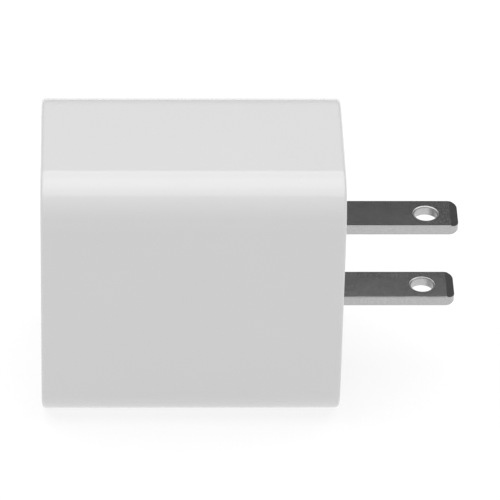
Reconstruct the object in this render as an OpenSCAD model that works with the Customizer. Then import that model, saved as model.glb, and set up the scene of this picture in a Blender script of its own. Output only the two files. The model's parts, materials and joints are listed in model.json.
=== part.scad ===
// USB wall charger with two fixed flat blades and one USB-C port.
//
// Frame: the origin is the centre of the wall face, +X runs out along the blades into the
// wall socket, +Z is up and stacks the two blades. The port is on the -X end. Millimetres.
//
// The casing is one shell, closed at the port end. The circuit boards slide in along X on
// rails, and the end plate with the blades closes the shell and plugs the blades' tails
// into two spring forks on the main board.

/* [Casing] */
// Length of the casing, from the port face to the wall face
body_l = 43; // [35.5:0.5:60]
// Depth of the casing, along the width of a blade
body_d = 29; // [24:0.5:40]
// Height of the casing, across both blades
body_h = 40.6; // [33.6:0.2:60]
// Radius of the four long edges
corner_r = 6.5; // [5:0.1:8]
// Rounding of the edges around both end faces
edge_r = 0.6; // [0.3:0.1:0.9]
// Wall of the casing
wall = 2; // [1.6:0.1:2.4]
// Thickness of the port face
face_t = 2; // [1.4:0.1:2.6]

/* [End plate] */
// Thickness of the end plate
plate_t = 2.2; // [1.6:0.1:2.8]
// Width of the casing's rim that shows around the end plate
rim_w = 1; // [0.7:0.1:1.2]
// Seam between the end plate and the rim
seam = 0.12; // [0.05:0.01:0.25]
// Length of the skirt that locates the end plate in the casing
skirt_l = 2.4; // [1.5:0.1:3]
// Thickness of the skirt
skirt_t = 1; // [0.7:0.1:1.4]
// Thickness of the carrier that traps the blades behind the end plate
carrier_t = 3.5; // [2.8:0.1:4.5]
// Plastic around the blades in the carrier
carrier_wall = 4.4; // [4:0.1:5.5]
// Diameter of the four posts that the carrier is staked on
post_d = 2; // [1.6:0.1:2.4]

/* [Blades] */
// Distance between the middles of the two blades
blade_pitch = 12.7; // [10.6:0.1:15.3]
// Width of a blade
blade_w = 6.35; // [5.2:0.05:7.7]
// Thickness of a blade
blade_t = 1.52; // [1.2:0.02:1.8]
// Reach of the blades beyond the wall face
blade_reach = 16.8; // [14:0.1:20.5]
// Diameter of the hole through each blade
blade_hole_d = 3.3; // [2.7:0.1:4]
// Bevel around both mouths of that hole
hole_bevel = 0.4; // [0.1:0.05:0.5]
// Distance from the wall face to the middle of that hole
blade_hole_x = 12.2; // [9:0.1:13.5]
// Rounding of the blade's two corners at the tip
tip_r = 1.4; // [0.8:0.1:2]
// Length of the slope on both flats at the tip
tip_bevel_l = 1.1; // [0.6:0.1:1.6]
// Depth of that slope
tip_bevel_t = 0.3; // [0.1:0.05:0.4]
// Bevel along the blade's long edges
blade_bevel = 0.16; // [0.05:0.01:0.3]
// Width of the shoulder that keeps a blade from being pulled out
shoulder_w = 9; // [8.6:0.1:10]
// Width of the tail that plugs into the fork
tail_w = 4; // [3:0.1:4.8]
// Length of the tail behind the carrier
tail_l = 3.4; // [2.8:0.1:4.5]

/* [Port] */
// Width of the USB-C receptacle, outside
port_w = 8.94; // [8.9:0.01:9.2]
// Thickness of the receptacle, outside
port_h = 3.16; // [3.1:0.01:3.3]
// Sheet thickness of the receptacle's shell
port_sheet = 0.3; // [0.2:0.05:0.35]
// Length of the receptacle, mouth to board
port_l = 8.2; // [7.5:0.1:9.8]
// Depth of the mouth behind the port face
port_recess = 0.3; // [0:0.1:0.6]
// Width of the tongue that carries the contacts
tongue_w = 6.69; // [6.6:0.01:6.75]
// Thickness of the tongue between its two rows of contacts
tongue_t = 0.6; // [0.5:0.05:0.7]
// Setback of the tongue's tip behind the mouth
tongue_back = 0.9; // [0.5:0.1:1.4]
// Length of the receptacle's moulded base, on the board side
base_l = 2.2; // [1.6:0.1:3]
// Number of contacts on each side of the tongue
contact_n = 12; // [8:1:12]
// Pitch of the contacts
contact_pitch = 0.5; // [0.45:0.01:0.52]

/* [Boards] */
// Thickness of the main board
board_t = 1.2; // [0.8:0.1:1.6]
// Room for solder and flat parts behind the main board
solder_room = 1.8; // [1.8:0.1:2.6]
// Thickness of the upright board that carries the port
port_board_t = 1; // [0.8:0.1:1.2]
// Room for flat parts on the inner side of that board
ic_room = 1.6; // [1.6:0.1:2.4]
// Length of the blade-side strip that holds the choke and the fuse
front_l = 6; // [5:0.1:7]
// Height of the stem between the main board and a fork
stem_l = 3; // [2:0.1:3.4]
// Width of a fork along X
fork_w = 2.2; // [1.6:0.1:2.6]
// Sheet thickness of a fork
fork_t = 0.5; // [0.3:0.05:0.6]
// Width of the pockets beside the port board
side_w = 4.6; // [4.6:0.1:5.5]

/* [Transformer] */
// Outer legs of the core
core_leg = 2.2; // [1.6:0.1:2.6]
// Backs of the two core halves
core_back = 2.4; // [1.8:0.1:3]
// Diameter of the centre leg
centre_leg_d = 4.6; // [4:0.1:5.6]
// Greatest thickness of the core along X
core_x = 9; // [6:0.5:11]
// Wall of the bobbin
bobbin_t = 0.6; // [0.4:0.1:0.8]

/* [Liner] */
// Thickness of the insulating film
film_t = 0.25; // [0.1:0.05:0.4]
// Thickness of the copper heat spreader
spreader_t = 0.3; // [0.2:0.05:0.5]
// Thickness of the thermal pad on the transformer
pad_t = 1.1; // [0.8:0.1:1.6]

/* [Clearances] */
// Gap around parts that slide together
slide_gap = 0.1; // [0.06:0.01:0.2]
// Gap around moulded-in metal and between touching sheets
tight_gap = 0.03; // [0.01:0.01:0.06]
// Gap between neighbouring components
part_gap = 0.6; // [0.5:0.1:1]

/* [Hidden] */
$fn = 64;

// Cavity of the casing
cav_d = body_d - 2 * wall;
cav_h = body_h - 2 * wall;
cav_r = corner_r - wall;
cav_x0 = face_t - body_l;

// Liner: film and spreader on the near side and on both ends of the height
liner_t = slide_gap + film_t + tight_gap + spreader_t;
liner_r = cav_r - liner_t;
// A square corner that is set back this far stays clear inside the liner's round corner
corner_inset = (1 - sqrt(0.5)) * liner_r + slide_gap;

// Main board, parallel to XZ near the far wall: component side faces -Y
board_y = cav_d / 2 - solder_room - board_t;
board_back_y = board_y + board_t;
board_x0 = cav_x0 + 0.5;
board_x1 = -(plate_t + skirt_l + 0.4);
round_room = max(0, board_back_y - (cav_d / 2 - cav_r));
board_hz = cav_h / 2 - cav_r + sqrt(cav_r * cav_r - round_room * round_room) - 2 * slide_gap;

// Grooved rails that the main board slides into
rail_t = 1.2;
rail_y0 = board_y - slide_gap - rail_t;

// Blades, carrier and posts behind the end plate
blade_z = blade_pitch / 2;
carrier_x0 = -plate_t - carrier_t;
carrier_h = blade_pitch + blade_t + 2 * carrier_wall;
carrier_d = shoulder_w + 4;
shoulder_l = 1.3;
post_z = blade_z + blade_t / 2 + carrier_wall / 2 + 0.3;
post_y = shoulder_w / 2 - 0.4;
post_head_d = post_d + 1.2;
post_head_t = 0.6;

// Forks that take the blades' tails
fork_x1 = carrier_x0 - post_head_t - 0.3;
fork_x0 = fork_x1 - fork_w;
fork_base_y = board_y - stem_l;
tail_x0 = carrier_x0 - tail_l;
fork_tip_y = -tail_w / 2 + 0.2;
fork_in = blade_t / 2 + tight_gap;
stem_w = 1.2;
fork_pin_w = 0.8;

// Receptacle and the upright board behind it
mouth_x = port_recess - body_l;
port_board_x0 = mouth_x + port_l;
port_board_x1 = port_board_x0 + port_board_t;
tongue_x0 = mouth_x + tongue_back;
base_x0 = port_board_x0 - base_l;
contact_w = 0.26;
contact_t = 0.06;
contact_foot = 0.5;

// Bay for the tall components, between the upright board and the forks
bay_x0 = port_board_x1 + ic_room;
bay_x1 = min(fork_x0, tail_x0) - part_gap;
bay_l = bay_x1 - bay_x0;
bay_hz = cav_h / 2 - liner_t - corner_inset;
pad_y0 = liner_t - cav_d / 2;
rail_z0 = bay_hz + slide_gap;
bay_y0 = pad_y0 + max(pad_t, corner_inset);
bay_h = board_y - bay_y0;

port_board_hz = bay_hz - side_w - part_gap;
port_board_tab = 3;
tab_z = port_board_hz - port_board_tab;

// Input capacitors stand in a strip along the lower end of the height
in_cap_d = (bay_l - part_gap) / 2;
in_cap_h = bay_h - 1;
in_cap_z = -bay_hz + in_cap_d / 2;
in_cap_x = [bay_x0 + in_cap_d / 2, bay_x1 - in_cap_d / 2];
in_cap_seat = 0.3;
sleeve_t = 0.15;
in_cap_lead = 2.5;

// Transformer fills the rest of the bay behind the blade-side strip
trafo_l = bay_l - front_l - part_gap;
trafo_w = 2 * bay_hz - in_cap_d - part_gap;
trafo_x = bay_x0 + trafo_l / 2;
trafo_z = bay_hz - trafo_w / 2;
trafo_seat = 1.2;
trafo_h = bay_h - trafo_seat;
core_l = min(core_x, trafo_l);
window_h = trafo_h - 2 * core_back;
coil_r = min(trafo_w / 2 - core_leg, trafo_l / 2) - 2 * slide_gap;
tape_t = 0.15;
bobbin_r = centre_leg_d / 2 + slide_gap + bobbin_t;
trafo_pin_x = min(core_l / 2, trafo_l / 2) - 0.8;
trafo_pin_z = trafo_w / 2 - 1.2;

// Choke and fuse side by side in the blade-side strip
front_x = bay_x1 - front_l / 2;
fuse_w = 4;
fuse_l = front_l - 0.5;
fuse_h = 7;
fuse_seat = 0.2;
fuse_z = bay_hz - fuse_w / 2;
choke_d = min(11, trafo_w - fuse_w - part_gap);
choke_z = bay_hz - trafo_w + choke_d / 2;
choke_t = front_l - 1;
choke_wire = 0.8;
choke_base_t = 0.8;
choke_r1 = choke_d / 2;
choke_r0 = choke_r1 * 0.42;
choke_up = choke_base_t + choke_r1;

// Pockets beside the upright board
pocket_x = (cav_x0 + part_gap + bay_x0) / 2;
pocket_z = bay_hz - side_w / 2;
y_cap_d = 7;
y_cap_t = 3.6;
y_cap_up = 1;
opto_l = 6.4;
opto_w = 4.4;
opto_h = 3.4;
opto_up = 0.5;

// Output capacitors lie on the upright board, beside the receptacle
out_cap_d = min(6.3, -bay_y0 - port_h / 2 - 2 * part_gap);
out_cap_l = min(5.8, port_board_x0 - cav_x0 - part_gap);
out_cap_y = -(port_h / 2 + part_gap + out_cap_d / 2);
out_cap_z = (out_cap_d + part_gap) / 2;

// Every wire lead through the main board: [x, z, height of its upper end above the board]
lead_d = 0.7;
lead_gap = 0.1;
lead_tail = 0.8;
choke_lead_x = 1.6;
choke_lead_z = choke_d * 0.3;
fuse_lead_x = 1.8;
y_cap_lead_x = 2.5;
y_cap_lead_up = y_cap_up + y_cap_d * 0.2;
opto_lead_x = 2.4;
opto_lead_z = 1.3;
leads = concat(
    [for (x = in_cap_x, s = [-1, 1]) [x, in_cap_z + s * in_cap_lead, in_cap_seat]],
    [for (sx = [-1, 1], sz = [-1, -0.6, 0.6, 1])
        [trafo_x + sx * trafo_pin_x, trafo_z + sz * trafo_pin_z, trafo_seat]],
    [for (sx = [-1, 1], sz = [-1, 1]) [front_x + sx * choke_lead_x, choke_z + sz * choke_lead_z, 0]],
    [for (sx = [-1, 1]) [front_x + sx * fuse_lead_x, fuse_z, fuse_seat]],
    [for (sx = [-1, 1]) [pocket_x + sx * y_cap_lead_x, pocket_z, y_cap_lead_up]],
    [for (sx = [-1, 1], sz = [-1, 1]) [pocket_x + sx * opto_lead_x, -pocket_z + sz * opto_lead_z, opto_up]]
);

// ---------- shapes that repeat ----------

// Rectangle with round corners, drawn from true arcs
module rounded_rect(w, h, r) {
    square([w - 2 * r, h], center = true);
    square([w, h - 2 * r], center = true);
    for (sx = [-1, 1], sy = [-1, 1])
        translate([sx * (w / 2 - r), sy * (h / 2 - r)]) circle(r);
}

// Rectangle whose two short ends are half circles
module stadium(w, h) {
    square([w - h, h], center = true);
    for (s = [-1, 1]) translate([s * (w - h) / 2, 0]) circle(h / 2);
}

// Drawing in Y and Z, extruded from x0 to x1
module along_x(x0, x1)
    translate([x0, 0, 0]) rotate([90, 0, 90]) linear_extrude(x1 - x0) children();

// Drawing in X and Z, extruded from y0 to y1
module along_y(y0, y1)
    translate([0, y1, 0]) rotate([90, 0, 0]) linear_extrude(y1 - y0) children();

// Child that stands on the main board: its Z points away from the board, to -Y
module on_board(x, z)
    translate([x, board_y, z]) rotate([90, 0, 0]) children();

// Section of a blade, w wide, with tight_gap all round
module blade_slot(w) square([w + 2 * tight_gap, blade_t + 2 * tight_gap], center = true);

// Cavity outline, drawn in by the inset
module cavity_outline(inset = 0)
    rounded_rect(cav_d - 2 * inset, cav_h - 2 * inset, cav_r - inset);

// Ring between two cylinders about Z
module ring(r_out, r_in, h)
    difference() {
        cylinder(r = r_out, h = h);
        translate([0, 0, -1]) cylinder(r = r_in, h = h + 2);
    }

// ---------- casing ----------

// Half section through a long edge: X along the casing, Y out to the rounded rims
module edge_profile(x0, x1, r, rim) {
    translate([x0, 0]) square([x1 - x0, r - rim]);
    translate([x0 + rim, 0]) square([x1 - x0 - 2 * rim, r]);
    for (x = [x0 + rim, x1 - rim]) translate([x, r - rim]) circle(rim);
}

// Outside of the casing: a middle block, two slabs and four round corners, face to face
module casing_outside() {
    y_in = body_d / 2 - corner_r;
    z_in = body_h / 2 - corner_r;
    translate([-body_l / 2, 0, -z_in]) linear_extrude(2 * z_in) rounded_rect(body_l, body_d, edge_r);
    for (flip_z = [0, 1]) mirror([0, 0, flip_z]) {
        translate([0, y_in, z_in]) rotate([90, 0, 0]) linear_extrude(2 * y_in)
            edge_profile(-body_l, 0, corner_r, edge_r);
        for (flip_y = [0, 1]) mirror([0, flip_y, 0])
            translate([0, y_in, z_in]) rotate([90, 0, 90]) rotate_extrude(angle = 90)
                mirror([1, -1, 0]) edge_profile(-body_l, 0, corner_r, edge_r);
    }
}

// Two rails that fill the cavity's far corners, with a groove for the main board's edges
module casing_rails() {
    rail_x0 = cav_x0 - face_t / 2;
    difference() {
        for (flip = [0, 1]) mirror([0, 0, flip]) translate([rail_x0, rail_y0, rail_z0])
            cube([board_x1 - rail_x0, body_d / 2 - rail_y0, body_h / 2 - rail_z0]);
        translate([cav_x0, board_y - slide_gap, -board_hz - slide_gap])
            cube([body_l, board_t + 2 * slide_gap, 2 * (board_hz + slide_gap)]);
    }
}

module casing() color("whitesmoke") {
    difference() {
        casing_outside();
        along_x(cav_x0, 1) cavity_outline();
        along_x(-plate_t, 1) cavity_outline(rim_w - wall);
        along_x(-body_l - 1, cav_x0 + 1) rotate(90) stadium(port_w + 2 * slide_gap, port_h + 2 * slide_gap);
    }
    intersection() {
        casing_rails();
        along_x(cav_x0 - face_t / 2, 0) cavity_outline(-wall / 2);
    }
}

// ---------- end plate, blades and carrier ----------

// The same four places for posts, post heads and their holes
module at_posts()
    for (sy = [-1, 1], sz = [-1, 1]) translate([0, sy * post_y, sz * post_z]) children();

module end_plate() color("whitesmoke") {
    difference() {
        union() {
            along_x(-plate_t, 0) cavity_outline(rim_w - wall + seam);
            along_x(-plate_t - skirt_l, -plate_t) difference() {
                cavity_outline(slide_gap);
                cavity_outline(slide_gap + skirt_t);
            }
        }
        for (s = [-1, 1]) translate([0, 0, s * blade_z])
            along_x(-plate_t - 1, 1) blade_slot(blade_w);
    }
    at_posts() {
        translate([carrier_x0 - 0.01, 0, 0]) rotate([0, 90, 0]) cylinder(d = post_d, h = carrier_t + 0.01);
        translate([carrier_x0 - post_head_t, 0, 0]) rotate([0, 90, 0])
            cylinder(d1 = post_d, d2 = post_head_d, h = post_head_t);
    }
}

module blade_carrier() color("gainsboro") {
    difference() {
        along_x(carrier_x0, -plate_t) rounded_rect(carrier_d, carrier_h, 1.5);
        at_posts() translate([carrier_x0 - 1, 0, 0]) rotate([0, 90, 0])
            cylinder(d = post_d + 2 * tight_gap, h = carrier_t + 2);
        for (s = [-1, 1]) translate([0, 0, s * blade_z]) {
            along_x(carrier_x0 - 1, 0) blade_slot(tail_w);
            along_x(-plate_t - shoulder_l - tight_gap, 0) blade_slot(shoulder_w);
        }
    }
}

// One blade, stamped from flat strip and bevelled, about its own mid-plane
module blade() {
    shoulder_x0 = -plate_t - shoulder_l;
    half_t = blade_t / 2;
    difference() {
        union() {
            intersection() {
                translate([-plate_t, 0, -half_t]) linear_extrude(blade_t) {
                    translate([0, -blade_w / 2]) square([blade_reach + plate_t - tip_r, blade_w]);
                    translate([0, -blade_w / 2 + tip_r]) square([blade_reach + plate_t, blade_w - 2 * tip_r]);
                    for (s = [-1, 1])
                        translate([blade_reach + plate_t - tip_r, s * (blade_w / 2 - tip_r)]) circle(tip_r);
                }
                // side view, with the tip sloped on both flats
                along_y(-blade_w, blade_w) polygon([
                    [-plate_t, -half_t], [blade_reach - tip_bevel_l, -half_t],
                    [blade_reach, -half_t + tip_bevel_t], [blade_reach, half_t - tip_bevel_t],
                    [blade_reach - tip_bevel_l, half_t], [-plate_t, half_t]
                ]);
                // end view, with all four long edges bevelled
                along_x(-plate_t, blade_reach) polygon([
                    for (s = [[1, 1], [-1, 1], [-1, -1], [1, -1]], first = [true, false])
                        let (cut_y = (s[0] * s[1] > 0) == first)
                            [s[0] * (blade_w / 2 - (cut_y ? 0 : blade_bevel)),
                             s[1] * (half_t - (cut_y ? blade_bevel : 0))]
                ]);
            }
            translate([shoulder_x0, -shoulder_w / 2, -half_t]) cube([shoulder_l, shoulder_w, blade_t]);
            translate([tail_x0, -tail_w / 2, -half_t]) cube([shoulder_x0 - tail_x0, tail_w, blade_t]);
        }
        translate([blade_hole_x, 0, -blade_t]) cylinder(d = blade_hole_d, h = 2 * blade_t);
        for (flip = [0, 1]) mirror([0, 0, flip]) translate([blade_hole_x, 0, half_t - hole_bevel])
            cylinder(d1 = blade_hole_d, d2 = blade_hole_d + 4 * hole_bevel, h = 2 * hole_bevel);
    }
}

module blade_upper() color("silver") translate([0, 0, blade_z]) blade();

module blade_lower() color("silver") translate([0, 0, -blade_z]) blade();

// Spring fork: two tines grip the tail, and a stem ends in a pin through the main board
module fork() color("goldenrod") {
    out = fork_in + fork_t;
    along_x(fork_x0, fork_x1) {
        for (s = [-1, 1]) translate([fork_tip_y, s > 0 ? fork_in : -out])
            square([fork_base_y - fork_tip_y, fork_t]);
        translate([fork_base_y - fork_t, -out]) square([fork_t, 2 * out]);
        translate([fork_base_y - fork_t, -stem_w / 2]) square([board_y - fork_base_y + fork_t, stem_w]);
        translate([board_y - 0.1, -fork_pin_w / 2]) square([board_t + lead_tail + 0.1, fork_pin_w]);
    }
}

module fork_upper() translate([0, 0, blade_z]) fork();

module fork_lower() translate([0, 0, -blade_z]) fork();

// ---------- boards ----------

module main_board() color("darkgreen") {
    chamfer = 1;
    difference() {
        along_y(board_y, board_back_y) polygon([
            [board_x0 + chamfer, -board_hz], [board_x1, -board_hz], [board_x1, board_hz],
            [board_x0 + chamfer, board_hz], [board_x0, board_hz - chamfer], [board_x0, -board_hz + chamfer]
        ]);
        for (p = leads) on_board(p[0], p[1])
            translate([0, 0, -board_t - 1]) cylinder(d = lead_d + 2 * lead_gap, h = board_t + 2);
        for (s = [-1, 1]) {
            translate([fork_x0 - lead_gap, board_y - 1, s * blade_z - fork_pin_w / 2 - lead_gap])
                cube([fork_w + 2 * lead_gap, board_t + 2, fork_pin_w + 2 * lead_gap]);
            translate([port_board_x0 - lead_gap, board_y - 1, s * tab_z - port_board_tab / 2 - lead_gap])
                cube([port_board_t + 2 * lead_gap, board_t + 2, port_board_tab + 2 * lead_gap]);
        }
    }
}

// Places of the receptacle's four legs on the upright board, as [y, z]
leg_w = 1;
leg_z = (port_w - port_h - leg_w) / 2;
legs = [for (sy = [-1, 1], sz = [-1, 1]) [sy * (port_h - port_sheet) / 2, sz * leg_z]];

module port_board() color("darkgreen") {
    difference() {
        union() {
            translate([port_board_x0, bay_y0, -port_board_hz])
                cube([port_board_t, board_y - tight_gap - bay_y0, 2 * port_board_hz]);
            for (s = [-1, 1]) translate([port_board_x0, board_y - 1, s * tab_z - port_board_tab / 2])
                cube([port_board_t, board_t + 1 + lead_tail / 2, port_board_tab]);
        }
        for (p = legs) translate([port_board_x0 + port_board_t / 2, p[0], p[1]])
            cube([port_board_t + 2, port_sheet + lead_gap, leg_w + 2 * lead_gap], center = true);
    }
}

// ---------- USB-C receptacle ----------

module usb_shell() color("lightgray") {
    along_x(mouth_x, port_board_x0 - tight_gap) difference() {
        rotate(90) stadium(port_w, port_h);
        rotate(90) stadium(port_w - 2 * port_sheet, port_h - 2 * port_sheet);
    }
    for (p = legs) translate([port_board_x0 - 1, p[0] - port_sheet / 2, p[1] - leg_w / 2])
        cube([port_board_t + 1.4, port_sheet, leg_w]);
}

// Height of the middle of contact i
function contact_z(i) = (i - (contact_n - 1) / 2) * contact_pitch;

module usb_tongue() color("dimgray") {
    inner_w = port_w - 2 * port_sheet - 2 * tight_gap;
    inner_h = port_h - 2 * port_sheet - 2 * tight_gap;
    difference() {
        union() {
            along_x(tongue_x0, base_x0 + 0.5) square([tongue_t, tongue_w], center = true);
            along_x(base_x0, port_board_x0 - contact_t - 3 * tight_gap) rotate(90) stadium(inner_w, inner_h);
        }
        for (s = [0, 1], i = [0:contact_n - 1]) mirror([0, s, 0])
            translate([base_x0 - 1, tongue_t / 2, contact_z(i) - contact_w / 2 - tight_gap])
                cube([base_l + 1, contact_t + tight_gap, contact_w + 2 * tight_gap]);
    }
}

// Each contact runs along the tongue, through the base and out to a foot on the upright board
module usb_contacts() color("gold") {
    contact_x0 = tongue_x0 + 0.4;
    contact_x1 = port_board_x0 - tight_gap;
    for (s = [0, 1], i = [0:contact_n - 1]) mirror([0, s, 0])
        translate([0, tongue_t / 2, contact_z(i) - contact_w / 2]) {
            translate([contact_x0, 0, 0]) cube([contact_x1 - contact_x0, contact_t, contact_w]);
            translate([contact_x1 - contact_t, 0, 0]) cube([contact_t, contact_foot, contact_w]);
        }
}

// ---------- transformer ----------

// Local frame: X along the casing, Z away from the main board, origin at the core's lower face
module at_transformer()
    on_board(trafo_x, trafo_z) translate([0, 0, trafo_seat]) children();

// One half: a back, two outer legs and half of the round centre leg
module core_half() color("dimgray") {
    half = trafo_h / 2 - tight_gap / 2;
    translate([-core_l / 2, -trafo_w / 2, 0]) cube([core_l, trafo_w, core_back]);
    for (s = [-1, 1]) translate([-core_l / 2, s > 0 ? trafo_w / 2 - core_leg : -trafo_w / 2, 0])
        cube([core_l, core_leg, half]);
    cylinder(d = centre_leg_d, h = half);
}

module transformer_core_lower() at_transformer() core_half();

module transformer_core_upper() at_transformer() translate([0, 0, trafo_h]) mirror([0, 0, 1]) core_half();

module transformer_bobbin() color("black") at_transformer() {
    difference() {
        union() {
            translate([0, 0, core_back + slide_gap]) cylinder(r = bobbin_r, h = window_h - 2 * slide_gap);
            for (z = [core_back + slide_gap, core_back + window_h - slide_gap - bobbin_t])
                translate([0, 0, z]) cylinder(r = coil_r, h = bobbin_t);
        }
        cylinder(d = centre_leg_d + 2 * slide_gap, h = trafo_h);
    }
}

// Ring between the bobbin's two flanges
module wound(r_out, r_in) {
    end_room = slide_gap + bobbin_t + tight_gap;
    at_transformer() translate([0, 0, core_back + end_room]) ring(r_out, r_in, window_h - 2 * end_room);
}

module transformer_coil() color("peru") wound(coil_r - tape_t - 2 * tight_gap, bobbin_r + tight_gap);

module transformer_tape() color("gold") wound(coil_r - tight_gap, coil_r - tape_t - tight_gap);

// ---------- capacitors ----------

// Aluminium can with a rolled groove near its foot and a vent cross stamped in its top
module input_capacitor_can(i) color("silver") {
    r = in_cap_d / 2 - sleeve_t - tight_gap;
    groove = 0.45;
    groove_up = 1.8;
    vent_l = r * 1.2;
    vent_w = 0.3;
    vent_t = 0.15;
    on_board(in_cap_x[i], in_cap_z) translate([0, 0, in_cap_seat]) difference() {
        cylinder(r = r, h = in_cap_h - in_cap_seat);
        translate([0, 0, groove_up]) rotate_extrude() translate([r, 0]) circle(groove);
        translate([0, 0, in_cap_h - in_cap_seat - vent_t]) for (a = [0, 90]) rotate(a)
            translate([-vent_l / 2, -vent_w / 2, 0]) cube([vent_l, vent_w, 1]);
    }
}

// Shrunk sleeve around the can, turned in over its top rim
module input_capacitor_sleeve(i) color("darkslategray") {
    r_out = in_cap_d / 2;
    r_in = r_out - sleeve_t;
    lip_w = 1;
    can_h = in_cap_h - in_cap_seat;
    on_board(in_cap_x[i], in_cap_z) translate([0, 0, in_cap_seat]) {
        ring(r_out, r_in, can_h + tight_gap);
        translate([0, 0, can_h + tight_gap]) ring(r_out, r_in - lip_w, sleeve_t);
    }
}

// Polymer capacitor: can on a moulded square base with two cut corners
module output_capacitor(s) color("silver") {
    base_t = 0.8;
    half = out_cap_d / 2;
    cut = half / 3;
    can_d = out_cap_d - 0.2;
    groove = 0.3;
    translate([port_board_x0 - tight_gap, out_cap_y, s * out_cap_z]) rotate([0, -90, 0]) {
        linear_extrude(base_t) polygon([
            [-half, -half], [half, -half], [half, half - cut], [half - cut, half], [-half + cut, half],
            [-half, half - cut]
        ]);
        difference() {
            translate([0, 0, base_t - 0.1]) cylinder(d = can_d, h = out_cap_l - base_t + 0.1);
            translate([0, 0, base_t + 0.7]) rotate_extrude() translate([can_d / 2, 0]) circle(groove);
        }
    }
}

module y_capacitor() color("royalblue") {
    rim = 0.6;
    on_board(pocket_x, pocket_z) translate([0, y_cap_t / 2, y_cap_up + y_cap_d / 2]) rotate([90, 0, 0])
        difference() {
            union() {
                cylinder(d = y_cap_d - 2 * rim, h = y_cap_t);
                translate([0, 0, rim]) cylinder(d = y_cap_d, h = y_cap_t - 2 * rim);
                for (z = [rim, y_cap_t - rim]) translate([0, 0, z]) rotate_extrude()
                    translate([y_cap_d / 2 - rim, 0]) circle(rim);
            }
            for (s = [-1, 1]) translate([s * y_cap_lead_x, -y_cap_d, y_cap_t / 2]) rotate([-90, 0, 0])
                cylinder(d = lead_d + 2 * tight_gap, h = y_cap_lead_up - y_cap_up + y_cap_d / 2 + tight_gap);
        }
}

// ---------- choke and fuse ----------

// Local frame of the choke: Z along the ring's axis, which lies along X of the casing
module at_choke()
    on_board(front_x, choke_z) translate([-choke_t / 2, 0, choke_up]) rotate([0, 90, 0]) children();

module choke_core() color("darkolivegreen")
    at_choke() translate([0, 0, choke_wire + tight_gap])
        ring(choke_r1 - choke_wire - tight_gap, choke_r0 + choke_wire + tight_gap,
             choke_t - 2 * (choke_wire + tight_gap));

// One winding covers a sector of the ring, as a sleeve all round its section
module choke_winding(side) color("peru") at_choke() {
    half_angle = 60;
    intersection() {
        difference() {
            ring(choke_r1, choke_r0, choke_t);
            translate([0, 0, choke_wire])
                ring(choke_r1 - choke_wire, choke_r0 + choke_wire, choke_t - 2 * choke_wire);
        }
        rotate(side * 90) linear_extrude(choke_t) polygon([
            [0, 0],
            choke_d * [cos(half_angle), -sin(half_angle)],
            choke_d * [1, 0] * 1.2,
            choke_d * [cos(half_angle), sin(half_angle)]
        ]);
    }
}

module choke_base() color("black")
    on_board(front_x, choke_z) difference() {
        translate([-choke_t / 2, -choke_d / 2, 0]) cube([choke_t, choke_d, choke_base_t + choke_r1 * 0.12]);
        translate([-choke_t, 0, choke_up]) rotate([0, 90, 0])
            cylinder(r = choke_r1 + tight_gap, h = 2 * choke_t);
        for (sx = [-1, 1], sz = [-1, 1]) translate([sx * choke_lead_x, sz * choke_lead_z, -1])
            cylinder(d = lead_d + 2 * tight_gap, h = 1);
    }

module fuse() color("saddlebrown")
    on_board(front_x, fuse_z) translate([0, 0, fuse_seat])
        linear_extrude(fuse_h) rounded_rect(fuse_l, fuse_w, 0.8);

// ---------- flat parts ----------

// Moulded body with rows of flat legs on two sides, on a face at Z = 0
module chip_body(l, w, h, leg_n) {
    lift = 0.1;
    leg_t = 0.25;
    leg_out = 0.5;
    leg_in = 0.2;
    pitch = l / leg_n;
    translate([-l / 2, -w / 2, lift]) cube([l, w, h - lift]);
    for (flip = [0, 1], i = [0:leg_n - 1]) mirror([0, flip, 0])
        translate([(i + 0.3) * pitch - l / 2, w / 2 - leg_in, 0])
            cube([pitch * 0.4, leg_in + leg_out, leg_t]);
}

// Child that lies on the main board's back: its Z points to +Y
module on_back(x, z)
    translate([x, board_back_y + tight_gap, z]) rotate([-90, 0, 0]) children();

// Child that lies on the inner side of the upright board: its Z points to +X
module on_port_board(y, z)
    translate([port_board_x1 + tight_gap, y, z]) rotate([0, 90, 0]) children();

module optocoupler() color("black")
    on_board(pocket_x, -pocket_z) translate([0, 0, opto_up]) linear_extrude(opto_h) difference() {
        square([opto_l, opto_w], center = true);
        translate([-opto_l / 2, 0]) circle(0.4);
    }

module bridge_rectifier() color("black")
    on_back((in_cap_x[0] + in_cap_x[1]) / 2, in_cap_z) chip_body(4.2, 4, 1.3, 2);

module power_switch() color("black") on_back(trafo_x, trafo_z) chip_body(5, 4, 1, 4);

module sync_rectifier() color("black") on_port_board(bay_y0 / 2, 0) chip_body(4.9, 3.9, 1.3, 4);

module charge_controller() color("black") on_port_board(board_y / 2, 0) chip_body(3.8, 2.8, 0.9, 6);

// Resistors and capacitors of one chip size, in a row on each board
module chip_parts() color("tan") {
    chip = [1.6, 0.8, 0.6];
    row_pitch = 2.6;
    for (i = [-2:2]) {
        on_port_board(0.6, i * row_pitch) translate([-chip[0] / 2, -chip[1] / 2, 0]) cube(chip);
        on_back(board_x0 + 3, i * row_pitch) translate([-chip[0] / 2, -chip[1] / 2, 0]) cube(chip);
    }
}

// ---------- leads and solder ----------

module component_leads() color("silver")
    for (p = leads) on_board(p[0], p[1]) translate([0, 0, -board_t - lead_tail])
        cylinder(d = lead_d, h = board_t + lead_tail + p[2] - tight_gap);

// Solder rises round each lead on the back of the main board
module solder_joints() color("lightsteelblue") {
    rise = 0.5;
    for (p = leads) on_board(p[0], p[1]) translate([0, 0, -board_t - tight_gap - rise]) difference() {
        cylinder(r1 = lead_d / 2 + 0.15, r2 = lead_d / 2 + 0.55, h = rise);
        translate([0, 0, -1]) cylinder(d = lead_d + 2 * tight_gap, h = 2);
    }
}

// ---------- liner ----------

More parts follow.
